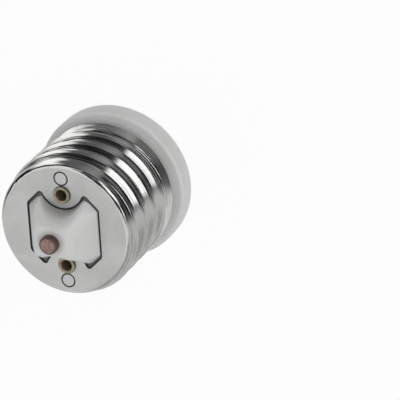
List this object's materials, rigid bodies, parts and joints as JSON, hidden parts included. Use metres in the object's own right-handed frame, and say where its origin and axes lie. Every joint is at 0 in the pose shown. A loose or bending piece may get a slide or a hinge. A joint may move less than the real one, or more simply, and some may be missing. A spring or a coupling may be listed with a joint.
{
  "type": "lamp socket adapter",
  "caption": "Porcelain lamp socket reducer: a rolled E40 screw cap with a raised centre contact outside, and an E27 screw socket in its round collar for a smaller lamp.",
  "frame": {"origin": "middle of the collar's front face, the E27 end, which the adapter stands on", "axes": "+Z along the axis from the E27 mouth to the E40 centre contact; +Y through the two rivets; +X across them"},
  "size_m": [0.0428, 0.0428, 0.0477],
  "materials": {
    "porcelain": "satin, light warm grey, unglazed",
    "cap_nickel": "bright nickel plate over brass, brushed on the floor",
    "socket_nickel": "satin nickel plate over brass",
    "rivet_brass": "dull, tarnished",
    "copper": "dull copper",
    "cup_tin": "bright tinned sheet"
  },
  "bodies": {
    "root": {"porcelain_body": "porcelain", "outer_shell": "cap_nickel", "inner_shell": "socket_nickel", "rivet_1": "rivet_brass", "rivet_2": "rivet_brass", "centre_contact": "copper", "contact_cup": "cup_tin"}
  },
  "joints": []
}
